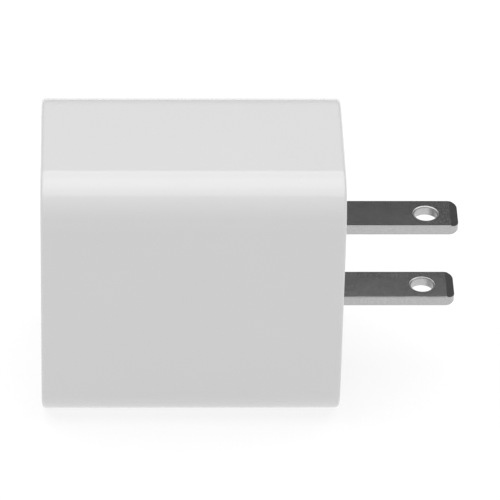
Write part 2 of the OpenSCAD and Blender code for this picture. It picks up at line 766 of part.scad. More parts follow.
// Sheet that follows the cavity's outline on the near side, between two insets
module lining(x0, x1, inset, t)
    intersection() {
        along_x(x0, x1) difference() {
            cavity_outline(inset);
            cavity_outline(inset + t);
        }
        translate([x0 - 1, -body_d, -body_h]) cube([x1 - x0 + 2, body_d + rail_y0 - 0.3, 2 * body_h]);
    }

module insulating_film() color("lightyellow") lining(cav_x0 + 0.3, board_x1, slide_gap, film_t);

module heat_spreader() color("darkorange")
    lining(bay_x0, bay_x1, slide_gap + film_t + tight_gap, spreader_t);

// The pad covers the core's back where the casing's side is flat
module thermal_pad() color("lightpink") {
    pad_z0 = trafo_z - trafo_w / 2;
    translate([trafo_x - core_l / 2, pad_y0 + tight_gap, pad_z0])
        cube([core_l, bay_y0 - pad_y0 - 2 * tight_gap, cav_h / 2 - cav_r - pad_z0]);
}

// ---------- what is drawn ----------

casing();
end_plate();
blade_carrier();
blade_upper();
blade_lower();
fork_upper();
fork_lower();
main_board();
port_board();
usb_shell();
usb_tongue();
usb_contacts();
transformer_core_lower();
transformer_core_upper();
transformer_bobbin();
transformer_coil();
transformer_tape();
for (i = [0, 1]) {
    input_capacitor_can(i);
    input_capacitor_sleeve(i);
    output_capacitor(2 * i - 1);
}
choke_core();
choke_winding(-1);  // choke_winding_left
choke_winding(1);  // choke_winding_right
choke_base();
fuse();
y_capacitor();
optocoupler();
bridge_rectifier();
power_switch();
sync_rectifier();
charge_controller();
chip_parts();
component_leads();
solder_joints();
insulating_film();
heat_spreader();
thermal_pad();
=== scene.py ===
# %% [markdown]
# # A small wall charger
#
# The charger is a white moulded box, 43 mm long, with two flat blades at one end and a USB-C
# port at the other. Its sizes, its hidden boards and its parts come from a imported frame, in
# metres, with the origin in the middle of the wall face and +X out along the blades. This
# notebook gives the frame its looks: the casing, the end plate, the blades and the port are
# built again as finely rounded meshes, and every other part gets a finish or finer detail.
#
# HAIR is the smallest gap left between two pieces, and points nearer than SAME_POINT become one.

# %% Load the frame
import json
import math

import bmesh
import bpy
from mathutils import Matrix, Vector


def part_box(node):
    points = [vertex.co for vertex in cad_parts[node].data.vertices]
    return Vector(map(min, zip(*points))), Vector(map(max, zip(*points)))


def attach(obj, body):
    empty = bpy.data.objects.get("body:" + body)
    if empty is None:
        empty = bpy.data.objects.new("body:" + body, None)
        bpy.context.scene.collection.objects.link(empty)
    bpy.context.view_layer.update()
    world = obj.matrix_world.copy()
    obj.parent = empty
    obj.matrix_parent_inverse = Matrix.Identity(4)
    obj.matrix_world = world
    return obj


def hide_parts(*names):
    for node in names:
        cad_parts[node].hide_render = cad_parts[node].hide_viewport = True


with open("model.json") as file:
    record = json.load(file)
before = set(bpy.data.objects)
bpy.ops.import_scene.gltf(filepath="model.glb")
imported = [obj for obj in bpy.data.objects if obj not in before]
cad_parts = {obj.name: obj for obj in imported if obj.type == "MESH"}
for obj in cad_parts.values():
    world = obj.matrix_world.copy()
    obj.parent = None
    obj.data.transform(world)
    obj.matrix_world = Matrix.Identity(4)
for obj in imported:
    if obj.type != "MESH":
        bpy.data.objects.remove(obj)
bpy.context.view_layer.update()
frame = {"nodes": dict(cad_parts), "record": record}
MM = 0.001
HAIR = 0.03 * MM
SAME_POINT = 1e-7
slot_of = {part["node"]: part["material_slot"] for part in frame["record"]["subparts"]}

# %% [markdown]
# ## Shader maths as plain expressions
#
# A finish is a small network of nodes. Adding each Math node by hand hides the idea, so one
# class wraps an output socket and turns arithmetic into Math nodes, and one method adds any
# other node: its settings are set first, then its sockets are filled or linked.


# %% Wires and nodes
class Wire:
    """An output socket. Arithmetic on it adds Math nodes to its own tree."""

    def __init__(self, nodes, socket):
        self.nodes = nodes
        self.socket = socket

    def maths(self, operation, *others):
        sockets = dict(enumerate((self, *others)))
        return self.nodes.add("ShaderNodeMath", {"operation": operation}, sockets)

    def __add__(self, other):
        return self.maths("ADD", other)

    def __sub__(self, other):
        return self.maths("SUBTRACT", other)

    def __mul__(self, other):
        return self.maths("MULTIPLY", other)

    def __rsub__(self, other):
        return self.maths("MULTIPLY_ADD", -1.0, other)

    __radd__ = __add__


class Nodes:
    """A node tree, with the one method that adds any node to it."""

    def __init__(self, tree):
        self.tree = tree

    def add(self, kind, settings=None, sockets=None, output=0):
        node = self.tree.nodes.new(kind)
        for key, value in (settings or {}).items():
            setattr(node, key, value)
        self.fill(node, sockets or {})
        return Wire(self, node.outputs[output])

    def fill(self, node, sockets):
        for key, value in sockets.items():
            if isinstance(value, Wire):
                self.tree.links.new(value.socket, node.inputs[key])
            else:
                node.inputs[key].default_value = value

    def place(self, stretch=(1, 1, 1)):
        """The point on the piece in millimetres, drawn out by stretch."""
        point = self.add("ShaderNodeTexCoord", output="Object")
        scale = [1000 * s for s in stretch]
        return self.add("ShaderNodeVectorMath", {"operation": "MULTIPLY"}, {0: point, 1: scale})

    def axis(self, point, letter):
        """One of a point's three numbers: X, Y or Z."""
        return self.add("ShaderNodeSeparateXYZ", {}, {"Vector": point}, output=letter)

    def noise(self, per_mm, detail=2.0, stretch=(1, 1, 1), offset=0.0):
        """Smooth noise from 0 to 1, with per_mm features in a millimetre."""
        point = self.add(
            "ShaderNodeVectorMath", {"operation": "ADD"}, {0: self.place(stretch), 1: [offset] * 3}
        )
        sockets = {"Vector": point, "Scale": per_mm, "Detail": detail, "Roughness": 0.55}
        return self.add("ShaderNodeTexNoise", {}, sockets)

    def step(self, value, low, high):
        """0 below low, 1 above high, and smooth between."""
        sockets = {"Value": value, "From Min": low, "From Max": high}
        return self.add("ShaderNodeMapRange", {"interpolation_type": "SMOOTHSTEP"}, sockets)

    def blend(self, factor, first, second):
        """One colour turning into another."""
        sockets = {0: factor, 6: first, 7: second}
        return self.add("ShaderNodeMix", {"data_type": "RGBA"}, sockets, output=2)

    def bump(self, height, depth_mm):
        """A surface raised by depth where height is 1."""
        sockets = {"Height": height, "Distance": depth_mm * MM, "Strength": 1.0}
        return self.add("ShaderNodeBump", {}, sockets)

    def dress(self, base, roughness, normal, **more):
        """Links what varies over the piece to the shader, and returns the material."""
        varying = {"Base Color": base, "Roughness": roughness, "Normal": normal, **more}
        self.fill(self.shader, varying)
        return self.material


def colour(red, green, blue):
    return (red, green, blue, 1.0)


def shaded(tint, by):
    """A darker tint, or a lighter one where by is above 1."""
    return colour(*(by * part for part in tint[:3]))


def new_finish(name, **sockets):
    """A material with a Principled shader whose plain values are set, and its nodes."""
    material = bpy.data.materials.new(name)
    material.use_nodes = True
    nodes = Nodes(material.node_tree)
    nodes.shader = material.node_tree.nodes["Principled BSDF"]
    nodes.fill(nodes.shader, {key.replace("_", " "): value for key, value in sockets.items()})
    nodes.material = material
    return nodes


print("shader helpers ready")

# %% [markdown]
# ## The white gloss of the casing
#
# The casing is glossy white polycarbonate. A polished mould leaves it smooth, with a faint
# orange peel that softens the edge of a lamp's reflection, and the resin's flow makes the
# white very slightly uneven. Both could be painted in an image, but noise in the piece's own
# millimetres holds its scale at any distance.


# %% Plastic finishes
def gloss_plastic(name, tint, roughness=0.11, peel_mm=0.0012):
    nodes = new_finish(name, Base_Color=tint, IOR=1.585)
    flow = nodes.noise(0.06, detail=1.0)
    grain = nodes.noise(1.4, detail=3.0)
    shade = shaded(tint, 0.975)
    return nodes.dress(
        nodes.blend(flow, shade, tint),
        roughness - 0.02 + grain * 0.04,
        nodes.bump(grain, peel_mm),
    )


def matt_plastic(name, tint, roughness=0.45, grain_mm=0.006, per_mm=6.0):
    nodes = new_finish(name, Base_Color=tint, IOR=1.5)
    grain = nodes.noise(per_mm, detail=4.0)
    cloud = nodes.noise(0.5, detail=2.0, offset=7.0)
    shade = shaded(tint, 0.82)
    return nodes.dress(
        nodes.blend(cloud, shade, tint),
        roughness + grain * 0.18,
        nodes.bump(grain, grain_mm),
    )


# %% [markdown]
# ## Steel, bronze, tin and copper
#
# The port's shell, the spring forks, the cans, the wires and the copper sheet are rolled or
# drawn metal. That leaves fine streaks along the metal. Stretched noise makes them: it lowers
# and lifts the roughness in long lines, with a hair of bump. Slow noise adds faint stains.


# %% Metal finishes
def rolled_metal(name, tint, roughness=0.26, streak=0.16, along=(0.05, 1, 1), stain=0.86):
    nodes = new_finish(name, Base_Color=tint, Metallic=1.0)
    lines = nodes.noise(9.0, detail=3.0, stretch=along)
    worn = nodes.noise(0.45, detail=3.0, offset=3.0)
    shade = shaded(tint, stain)
    return nodes.dress(
        nodes.blend(nodes.step(worn, 0.35, 0.7), tint, shade),
        roughness - streak * 0.5 + lines * streak + worn * 0.08,
        nodes.bump(lines, 0.0016),
    )


# %% [markdown]
# ## Nickel plate on the blades
#
# The blades are brass strip, stamped and then plated in a barrel. The plating is dull-bright: it
# mirrors the room, but softly, and a fine grain from the barrel makes each spot a little lighter
# or darker. The grain goes into the colour, and a slow wave into the flatness, because strip is
# never quite flat.


# %% Nickel plate
def nickel_plate(name, tint, roughness=0.08, grain=0.05):
    nodes = new_finish(name, Base_Color=tint, Metallic=1.0)
    speckle = nodes.step(nodes.noise(3.2, detail=3.0), 0.36, 0.64)
    worn = nodes.noise(0.3, detail=2.0, offset=3.0)
    shade = shaded(tint, 1.0 - grain)
    light = shaded(tint, 1.0 + grain)
    return nodes.dress(
        nodes.blend(speckle * 0.8 + worn * 0.2, shade, light),
        roughness + speckle * 0.014 + worn * 0.02,
        nodes.bump(worn, 0.004),
    )


# %% [markdown]
# ## Boards, ferrite and windings
#
# A board is glass and epoxy under green solder mask. Copper areas stand a hair higher under the
# mask and show lighter, with thin straight gaps between them. A brick texture has just such
# gaps, and its rows are laid along each board. Ferrite is pressed powder, so it is dull with
# small pits. Magnet wire is copper under clear enamel, so it is a metal with a glossy coat.


# %% Board, ferrite and wire finishes
def solder_mask(name, mask, copper):
    nodes = new_finish(name, Base_Color=mask, IOR=1.5)
    point = nodes.place()
    x = nodes.axis(point, "X")
    y = nodes.axis(point, "Y")
    z = nodes.axis(point, "Z")
    plan = nodes.add("ShaderNodeCombineXYZ", {}, {"X": x + y, "Y": z})
    settings = {"offset": 0.37, "squash": 0.6, "squash_frequency": 3}
    sockets = {
        "Vector": plan, "Scale": 1.0, "Mortar Size": 0.1, "Mortar Smooth": 0.2,
        "Brick Width": 6.5, "Row Height": 3.1, "Bias": 0.3,
        "Color1": mask, "Color2": copper, "Mortar": mask,
    }
    areas = nodes.add("ShaderNodeTexBrick", settings, sockets)
    gaps = nodes.add("ShaderNodeTexBrick", settings, sockets, output="Fac")
    weave = nodes.noise(5.0, detail=2.0)
    return nodes.dress(
        nodes.blend(weave * 0.3, areas, mask),
        0.24 + weave * 0.12,
        nodes.bump(1.0 - gaps, 0.02),
    )


def sintered(name, tint, roughness=0.5):
    nodes = new_finish(name, Base_Color=tint, IOR=1.8)
    grain = nodes.noise(7.0, detail=4.0)
    pits = nodes.step(nodes.noise(2.2, detail=1.0, offset=5.0), 0.62, 0.7)
    shade = shaded(tint, 0.55)
    return nodes.dress(
        nodes.blend(pits * 0.7 + grain * 0.3, tint, shade),
        roughness + grain * 0.2,
        nodes.bump(grain - pits, 0.012),
    )


def enamelled_wire(name, tint):
    nodes = new_finish(name, Base_Color=tint, Metallic=0.9, Coat_Weight=0.7, Coat_Roughness=0.12)
    tone = nodes.noise(1.1, detail=2.0)
    shade = shaded(tint, 0.62)
    return nodes.dress(
        nodes.blend(tone, shade, tint),
        0.22 + tone * 0.14,
        nodes.bump(tone, 0.01),
    )


# %% [markdown]
# ## Films, sleeves and solder
#
# Tape and film are thin and glossy with long faint creases. A capacitor's sleeve is dark and
# carries one pale stripe down the side that marks its negative wire. Solder freezes from
# liquid, so it is bright and smooth with slow ripples.


# %% Film, sleeve and solder finishes
def thin_film(name, tint, shine=0.24, clear=0.0):
    nodes = new_finish(name, Base_Color=tint, IOR=1.6, Transmission_Weight=clear)
    crease = nodes.noise(0.9, detail=3.0, stretch=(1, 0.25, 1))
    shade = shaded(tint, 0.86)
    return nodes.dress(
        nodes.blend(crease, shade, tint),
        shine + crease * 0.14,
        nodes.bump(crease, 0.03),
    )


def striped_sleeve(name, tint, stripe, stripe_z):
    """The stripe is where the sleeve is lower than stripe_z, in millimetres."""
    nodes = new_finish(name, Base_Color=tint, IOR=1.55)
    height = nodes.axis(nodes.place(), "Z")
    marked = 1.0 - nodes.step(height, stripe_z - 0.05, stripe_z + 0.05)
    skin = nodes.noise(1.3, detail=3.0)
    return nodes.dress(
        nodes.blend(marked, tint, stripe),
        0.22 + skin * 0.14,
        nodes.bump(skin, 0.02),
    )


def frozen_solder(name, tint):
    nodes = new_finish(name, Base_Color=tint, Metallic=1.0)
    ripple = nodes.noise(1.8, detail=2.0)
    frost = nodes.noise(12.0, detail=3.0)
    shade = shaded(tint, 0.8)
    return nodes.dress(
        nodes.blend(frost, shade, tint),
        0.14 + frost * 0.2,
        nodes.bump(ripple, 0.05),
    )


# %% [markdown]
# ## Small ceramic parts
#
# The smallest parts are ceramic blocks whose two ends are dipped in metal. All of them share
# one node, so their ends are found by place: those on the upright board stand in a row along Z
# and lie along it, and those under the main board lie along X at one distance from the wall.
# ROW_PITCH is the row's step and CAP_FROM where the metal starts, both in millimetres.

# %% Ceramic with metal ends
ROW_PITCH = 2.6
CAP_FROM = 0.5


def capped_ceramic(name, clay, metal, row_x, between_x):
    """row_x is the middle of the row under the board, and between_x divides the two rows."""
    nodes = new_finish(name, IOR=1.6)
    point = nodes.place()
    x = nodes.axis(point, "X")
    z = nodes.axis(point, "Z")
    along_x = (x - row_x).maths("ABSOLUTE")
    along_z = z.maths("PINGPONG", ROW_PITCH / 2)
    upright = nodes.step(x, between_x - 0.1, between_x + 0.1)
    from_middle = along_z * upright + along_x * (1.0 - upright)
    cap = nodes.step(from_middle, CAP_FROM - 0.01, CAP_FROM + 0.01)
    grain = nodes.noise(9.0, detail=3.0)
    return nodes.dress(
        nodes.blend(cap, clay, metal),
        0.3 + grain * 0.2,
        nodes.bump(grain + cap, 0.006),
        Metallic=cap,
    )


# %% [markdown]
# ## Building shapes
#
# Most pieces are one of three things: a drawing pushed along a straight line, a profile spun
# about an axis, or a row of rings joined like the hoops of a barrel. Primitives with a bevel
# modifier would also do, but their edges come out at odd widths where holes are cut. Here each
# edge is rounded by its own arc of rings, so flats stay flat and roundings are true.


# %% Drawings
def arc(centre, radius, start, sweep, steps):
    """Points on an arc, both ends included, with angles in degrees."""
    angles = [math.radians(start + sweep * i / steps) for i in range(steps + 1)]
    return [(centre[0] + radius * math.cos(a), centre[1] + radius * math.sin(a)) for a in angles]


def rounded(half_u, half_v, radius, centre=(0.0, 0.0), steps=16):
    """A rectangle with round corners, anticlockwise, with the same number of points always."""
    points = []
    for turn, (side_u, side_v) in enumerate(((1, 1), (-1, 1), (-1, -1), (1, -1))):
        middle = (centre[0] + side_u * (half_u - radius), centre[1] + side_v * (half_v - radius))
        points += arc(middle, radius, 90 * turn, 90, steps)
    return points


def without_repeats(points):
    return [p for i, p in enumerate(points) if math.dist(p, points[i - 1]) > SAME_POINT]


def grown(points, by):
    """An anticlockwise outline moved outwards, or inwards where by is negative."""
    moved = []
    for i, here in enumerate(points):
        before, after = points[i - 1], points[(i + 1) % len(points)]
        a = Vector((here[0] - before[0], here[1] - before[1])).normalized()
        b = Vector((after[0] - here[0], after[1] - here[1])).normalized()
        out_a, out_b = Vector((a.y, -a.x)), Vector((b.y, -b.x))
        shift = (out_a + out_b) * (by / (1 + out_a.dot(out_b)))
        moved.append((here[0] + shift.x, here[1] + shift.y))
    return moved


# %% Solids
EDGE_STEPS = 8


def quarter(steps=EDGE_STEPS):
    """Sine and one minus cosine, over a quarter turn."""
    turns = [math.radians(90 * i / steps) for i in range(steps + 1)]
    return [(math.sin(a), 1 - math.cos(a)) for a in turns]


def join_rings(mesh, rings, closed=False):
    """Faces between neighbouring rings of points, which all have the same count."""
    loops = [[mesh.verts.new(point) for point in ring] for ring in rings]
    pairs = list(zip(loops, loops[1:])) + ([(loops[-1], loops[0])] if closed else [])
    for low, high in pairs:
        for i in range(len(low)):
            j = (i + 1) % len(low)
            mesh.faces.new((low[i], low[j], high[j], high[i]))
    return loops


def push(mesh, outline, low, high, place, holes=(), edge=0.0, hole_edge=0.0):
    """A drawing pushed from low to high, with round edges. place turns (u, v, w) into a point."""
    ends = ([], [])
    paths = [(outline, edge, -1)] + [(hole, hole_edge, 1) for hole in holes]
    for path, radius, sign in paths:
        path = without_repeats(path)
        levels = [(0.0, low), (0.0, high)]
        if radius > 0:
            foot = [(radius * (1 - rise), low + radius * run) for rise, run in quarter()]
            levels = foot + [(inset, high + low - level) for inset, level in reversed(foot)]
        rings = [
            [place(u, v, level) for u, v in (grown(path, sign * inset) if inset else path)]
            for inset, level in levels
        ]
        loops = join_rings(mesh, rings)
        for end, loop in zip(ends, (loops[0], loops[-1])):
            end += [mesh.edges.get((loop[i - 1], loop[i])) for i in range(len(loop))]
    for end in ends:
        bmesh.ops.triangle_fill(mesh, use_beauty=True, edges=end)


def spin(mesh, profile, place, steps):
    """A closed profile of (radius, height) points turned about an axis."""
    rings = []
    for radius, height in profile:
        turn = [2 * math.pi * i / steps for i in range(steps)]
        rings.append([place(radius * math.cos(a), radius * math.sin(a), height) for a in turn])
    join_rings(mesh, rings, closed=True)


# %% [markdown]
# ## From mesh to piece
#
# A finished mesh is tidied, shaded smooth with its true corners kept sharp, given its finish,
# and tied to the frame: it rides on the charger's one body and stands in for its CAD node.
#
# Plain smooth shading averages the faces at a corner, so a wide flat that runs into a narrow
# rounding would look bent, and a mirror finish shows even one degree of that. The weighted
# normal modifier ignores faces this small. So the corners are worked out here: each takes the
# average of its smooth neighbours, weighted by the square of the whole flat area they belong to.

# %% True flats
FLAT = math.radians(0.05)


def flat_areas(mesh):
    """For each face, the area of the whole flat region around it."""
    region = list(range(len(mesh.faces)))

    def root(index):
        while region[index] != index:
            region[index] = region[region[index]]
            index = region[index]
        return index

    for edge in mesh.edges:
        if len(edge.link_faces) == 2 and edge.calc_face_angle() < FLAT:
            first, second = (root(face.index) for face in edge.link_faces)
            region[first] = second
    area = [0.0] * len(region)
    for face in mesh.faces:
        area[root(face.index)] += face.calc_area()
    return [area[root(index)] for index in range(len(region))]


def settle_normals(data):
    """Turns each corner towards the widest of its smooth neighbours."""
    mesh = bmesh.new()
    mesh.from_mesh(data)
    mesh.faces.ensure_lookup_table()
    weight = [(area / MM**2) ** 2 for area in flat_areas(mesh)]
    corners = [Vector()] * len(data.loops)
    for vert in mesh.verts:
        waiting = set(vert.link_faces)
        while waiting:
            fan = [waiting.pop()]
            for face in fan:
                for edge in face.edges:
                    if edge.smooth and vert in edge.verts:
                        joined = [other for other in edge.link_faces if other in waiting]
                        waiting.difference_update(joined)
                        fan += joined
            leaning = sum((weight[face.index] * face.normal for face in fan), Vector())
            for face in fan:
                for loop in face.loops:
                    if loop.vert == vert:
                        corners[loop.index] = leaning.normalized()
    mesh.free()
    data.normals_split_custom_set(corners)


# %% Pieces
FINISH = {}
SHARP = math.radians(12)
SHARP_SPUN = math.radians(50)
SHARP_WIRE = math.radians(60)


def as_object(name, mesh):
    """A Blender object from a bmesh, with doubled points merged and faces turned outwards."""
    bmesh.ops.remove_doubles(mesh, verts=mesh.verts, dist=SAME_POINT)
    bmesh.ops.recalc_face_normals(mesh, faces=mesh.faces)
    data = bpy.data.meshes.new(name)
    mesh.to_mesh(data)
    mesh.free()
    made = bpy.data.objects.new(name, data)
    bpy.context.scene.collection.objects.link(made)
    return made


def combine(piece, tool):
    """Joins a second solid to the piece, and leaves one mesh."""
    change = piece.modifiers.new("combine", "BOOLEAN")
    change.object = tool
    change.operation = "UNION"
    change.solver = "EXACT"
    seen = piece.evaluated_get(bpy.context.evaluated_depsgraph_get())
    piece.data = bpy.data.meshes.new_from_object(seen)
    piece.modifiers.clear()
    bpy.data.objects.remove(tool)


def hand_over(piece, node, sharp=SHARP):
    """Shades a piece, gives it its finish and ties it to the frame."""
    piece.data.shade_smooth()
    piece.data.set_sharp_from_angle(angle=sharp)
    settle_normals(piece.data)
    if not piece.data.materials:
        piece.data.materials.append(FINISH[slot_of[node]])
    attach(piece, "root")
    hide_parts(node)
    print(f"{piece.name}: {len(piece.data.polygons)} faces")


FINISH["casing_plastic"] = gloss_plastic("white_gloss_casing", colour(0.66, 0.66, 0.66))
FINISH["blade_nickel"] = nickel_plate("nickel_plated_blade", colour(0.455, 0.455, 0.455))
FINISH["port_steel"] = rolled_metal("port_steel", colour(0.62, 0.62, 0.63), along=(0.1, 1, 1))
FINISH["port_moulding"] = matt_plastic("port_black_moulding", colour(0.02, 0.02, 0.022))
FINISH["contact_gold"] = rolled_metal("contact_gold", colour(0.92, 0.70, 0.28), 0.2)
FINISH["carrier_plastic"] = matt_plastic("ivory_carrier", colour(0.74, 0.73, 0.69))
FINISH["spring_bronze"] = rolled_metal("spring_bronze", colour(0.80, 0.56, 0.32), 0.24, 0.14)
FINISH["board_green"] = solder_mask(
    "solder_mask", colour(0.01, 0.07, 0.03), colour(0.02, 0.16, 0.06)
)
FINISH["ferrite"] = sintered("dark_ferrite", colour(0.045, 0.045, 0.05))
FINISH["bobbin_plastic"] = matt_plastic("black_phenolic", colour(0.025, 0.024, 0.023), 0.38, 0.01)
FINISH["copper_wire"] = enamelled_wire("enamelled_copper", colour(0.72, 0.30, 0.12))
FINISH["winding_tape"] = thin_film("yellow_polyester_tape", colour(0.86, 0.58, 0.03))
FINISH["can_aluminium"] = rolled_metal(
    "drawn_aluminium", colour(0.80, 0.80, 0.81), 0.3, 0.2, (1, 0.04, 1)
)
FINISH["sleeve_film"] = striped_sleeve(
    "capacitor_sleeve", colour(0.02, 0.03, 0.055), colour(0.45, 0.47, 0.48), -15.0
)
FINISH["choke_ferrite"] = gloss_plastic("green_ring_coating", colour(0.06, 0.17, 0.07), 0.3, 0.02)
FINISH["fuse_plastic"] = matt_plastic("brown_fuse_moulding", colour(0.14, 0.045, 0.02), 0.36, 0.008)
FINISH["disc_epoxy"] = gloss_plastic("blue_epoxy_dip", colour(0.02, 0.09, 0.32), 0.2, 0.03)
FINISH["chip_epoxy"] = matt_plastic("black_chip_moulding", colour(0.02, 0.02, 0.022), 0.5, 0.008, 9.0)
FINISH["chip_ceramic"] = capped_ceramic(
    "capped_ceramic", colour(0.42, 0.30, 0.19), colour(0.74, 0.74, 0.75), -37.5, -35.5
)
FINISH["lead_tin"] = rolled_metal("tinned_wire", colour(0.74, 0.74, 0.73), 0.26, 0.12, (1, 0.05, 1))
FINISH["solder"] = frozen_solder("bright_solder", colour(0.70, 0.71, 0.73))
FINISH["film_clear"] = thin_film("pale_insulating_film", colour(0.86, 0.76, 0.48), 0.2, 0.4)
FINISH["spreader_copper"] = rolled_metal("copper_sheet", colour(0.80, 0.42, 0.24), 0.3, 0.16)
FINISH["pad_silicone"] = matt_plastic("pink_gap_pad", colour(0.66, 0.42, 0.46), 0.7, 0.03, 3.0)

# %% [markdown]
# ## The casing
#
# The casing is moulded in one shot: four sides and the port face, open at the wall end. A cube
# with a bevel could stand in for it from outside, but the real piece has a rim, a seat for the
# end plate, a cavity and a mouth for the port. So it is lofted: rings run from the lip of the
# port mouth, over the port face, round its edge, along the sides, round the rim, down into the
# seat, back along the cavity and out through the mouth again, where the first ring closes it.

# %% Casing sizes
casing_low, casing_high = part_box("casing")
LENGTH = -casing_low.x
HALF_Y = casing_high.y
HALF_Z = casing_high.z
CORNER = 6.5 * MM
RIM_EDGE = 0.6 * MM
WALL = 2.0 * MM
FACE = 2.0 * MM
RIM = 1.0 * MM
SEAM_EDGE = 0.12 * MM
MOUTH_LIP = 0.25 * MM
MOUTH_GAP = 0.1 * MM
shell_low, shell_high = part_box("usb_shell")
port_half_z = shell_high.z
port_half_y = shell_high.y
plate_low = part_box("end_plate")[0]
carrier_low, carrier_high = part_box("blade_carrier")
seat_x = carrier_high.x
cavity_x = -LENGTH + FACE
print("casing", LENGTH, HALF_Y * 2, HALF_Z * 2, "seat at", seat_x)


# %% Casing rings
def side_ring(x, inset):
    """The outline of the sides, drawn in by inset, at one place along the casing."""
    outline = rounded(HALF_Y - inset, HALF_Z - inset, CORNER - inset)
    return [(x, y, z) for y, z in outline]


def mouth_ring(x, wider):
    """The slot of the port mouth: a rounded outline whose ends are half circles."""
    half_y = port_half_y + MOUTH_GAP + wider
    half_z = port_half_z + MOUTH_GAP + wider
    return [(x, y, z) for y, z in rounded(half_y, half_z, half_y)]


rings = [mouth_ring(-LENGTH + MOUTH_LIP * (1 - rise), MOUTH_LIP * run) for rise, run in quarter()]
rings += [side_ring(-LENGTH + RIM_EDGE * run, RIM_EDGE * (1 - rise)) for rise, run in quarter()]
rings += [side_ring(-RIM_EDGE * (1 - rise), RIM_EDGE * run) for rise, run in quarter()]
rings += [side_ring(-SEAM_EDGE * run, RIM - SEAM_EDGE * (1 - rise)) for rise, run in quarter(4)]
rings += [side_ring(seat_x, RIM), side_ring(seat_x, WALL), side_ring(cavity_x, WALL)]
rings += [mouth_ring(cavity_x, 0)]
mesh = bmesh.new()
join_rings(mesh, rings, closed=True)
casing = as_object("casing_shell", mesh)

# %% [markdown]
# Two grooved rails inside the casing carry the main board's edges. Each is a block with a
# groove, joined to the shell by a boolean so that the casing stays one solid. The block's outer
# side follows the middle of the wall round the corner, so that none of it comes through.

# %% Casing rails
board_low, board_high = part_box("main_board")
can_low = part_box("input_capacitor_sleeve_1")[0]
SLIDE_GAP = 0.1 * MM
RAIL = 1.2 * MM
rail_y = board_low.y - SLIDE_GAP - RAIL
rail_z = -can_low.z + SLIDE_GAP
groove_z = board_high.z + SLIDE_GAP
groove = (board_low.y - SLIDE_GAP, board_high.y + SLIDE_GAP)
centre = (HALF_Y - CORNER, HALF_Z - CORNER)
middle_r = CORNER - WALL / 2
start = math.degrees(math.asin((rail_z - centre[1]) / middle_r))
end = math.degrees(math.acos((rail_y - centre[0]) / middle_r))
profile = [
    (rail_y, rail_z), (groove[0], rail_z), (groove[0], groove_z), (groove[1], groove_z),
    (groove[1], rail_z),
] + arc(centre, middle_r, start, end - start, 8)
for side in (1, -1):
    mesh = bmesh.new()
    push(mesh, profile, cavity_x - FACE / 2, board_high.x, lambda u, v, w: (w, u, side * v))
    combine(casing, as_object("rail", mesh))
hand_over(casing, "casing")

# %% [markdown]
# ## The end plate
#
# A separate plate closes the casing on the wall side. It drops into the rim with a hair of
# seam all round, has one slot for each blade, and carries a skirt and four posts behind it.


# %% End plate
def along_x(u, v, w):
    return (w, u, v)


SEAM = 0.12 * MM
SKIRT_GAP = 0.1 * MM
SKIRT = 1.0 * MM
SLOT_GAP = 0.03 * MM
SLOT_CORNER = 0.08 * MM
PLATE_EDGE = 0.15 * MM
SLOT_EDGE = 0.05 * MM
SKIRT_DEPTH = 2.4 * MM
SKIRT_LAP = 0.3 * MM
SKIRT_EDGE = 0.1 * MM
BLADE_HALF_Y = 3.175 * MM
blade_low, blade_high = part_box("blade_upper")
blade_z = (blade_low.z + blade_high.z) / 2
blade_half_t = (blade_high.z - blade_low.z) / 2
plate_inset = RIM + SEAM
plate_outline = rounded(HALF_Y - plate_inset, HALF_Z - plate_inset, CORNER - plate_inset)
slots = [
    rounded(BLADE_HALF_Y + SLOT_GAP, blade_half_t + SLOT_GAP, SLOT_CORNER, (0, side * blade_z), 3)
    for side in (1, -1)
]
mesh = bmesh.new()
push(mesh, plate_outline, seat_x, 0, along_x, slots, PLATE_EDGE, SLOT_EDGE)
end_plate = as_object("end_plate_moulding", mesh)

mesh = bmesh.new()
inset = WALL + SKIRT_GAP
skirt = rounded(HALF_Y - inset, HALF_Z - inset, CORNER - inset)
inside = rounded(HALF_Y - inset - SKIRT, HALF_Z - inset - SKIRT, CORNER - inset - SKIRT)
push(
    mesh, skirt, seat_x - SKIRT_DEPTH, seat_x + SKIRT_LAP,
    along_x, [inside], SKIRT_EDGE, SKIRT_EDGE,
)
combine(end_plate, as_object("skirt", mesh))

# %% Posts with riveted heads
POST = 1.0 * MM
HEAD = 1.6 * MM
DOME_STEPS = 10
POST_Y = 4.1 * MM
POST_FROM_BLADE = 2.5 * MM
POST_LAP = 0.4 * MM
post_z = blade_z + blade_half_t + POST_FROM_BLADE
root_x = seat_x + POST_LAP
dome = [
    (HEAD * math.cos(a), carrier_low.x - (carrier_low.x - plate_low.x) * math.sin(a))
    for a in (math.radians(90 * i / DOME_STEPS) for i in range(DOME_STEPS + 1))
]
profile = dome + [(0, root_x), (POST, root_x), (POST, carrier_low.x)]
for side_y in (1, -1):
    for side_z in (1, -1):
        mesh = bmesh.new()
        centre = (side_y * POST_Y, side_z * post_z)
        spin(mesh, profile, lambda u, v, w: (w, centre[0] + u, centre[1] + v), steps=40)
        combine(end_plate, as_object("post", mesh))
hand_over(end_plate, "end_plate")

# %% [markdown]
# ## The blades
#
# Each blade is stamped from strip. Its outline has a round-cornered tip, a shoulder that the
# carrier traps and a narrow tail for the spring fork. The press rounds the sheared edges, and
# more so around the hole, and a coining step slopes both flats at the tip. The outline is
# pushed up to the strip's thickness with round edges and a hole with a wider rounding, and two
# planes then slice the slopes off, as the coining tool does.

# %% Blades
TIP_R = 1.4 * MM
SLOPE_LENGTH = 1.1 * MM
SLOPE_DEPTH = 0.3 * MM
BLADE_EDGE = 0.16 * MM
HOLE_R = 1.65 * MM
HOLE_X = 12.2 * MM
HOLE_EDGE = 0.22 * MM
TAIL_HALF = 2.0 * MM
SHOULDER = 1.3 * MM
ON_PLANE = 1e-8
LEVEL = 0.999
reach = blade_high.x
shoulder_half = blade_high.y
shoulder_x = seat_x - SHOULDER


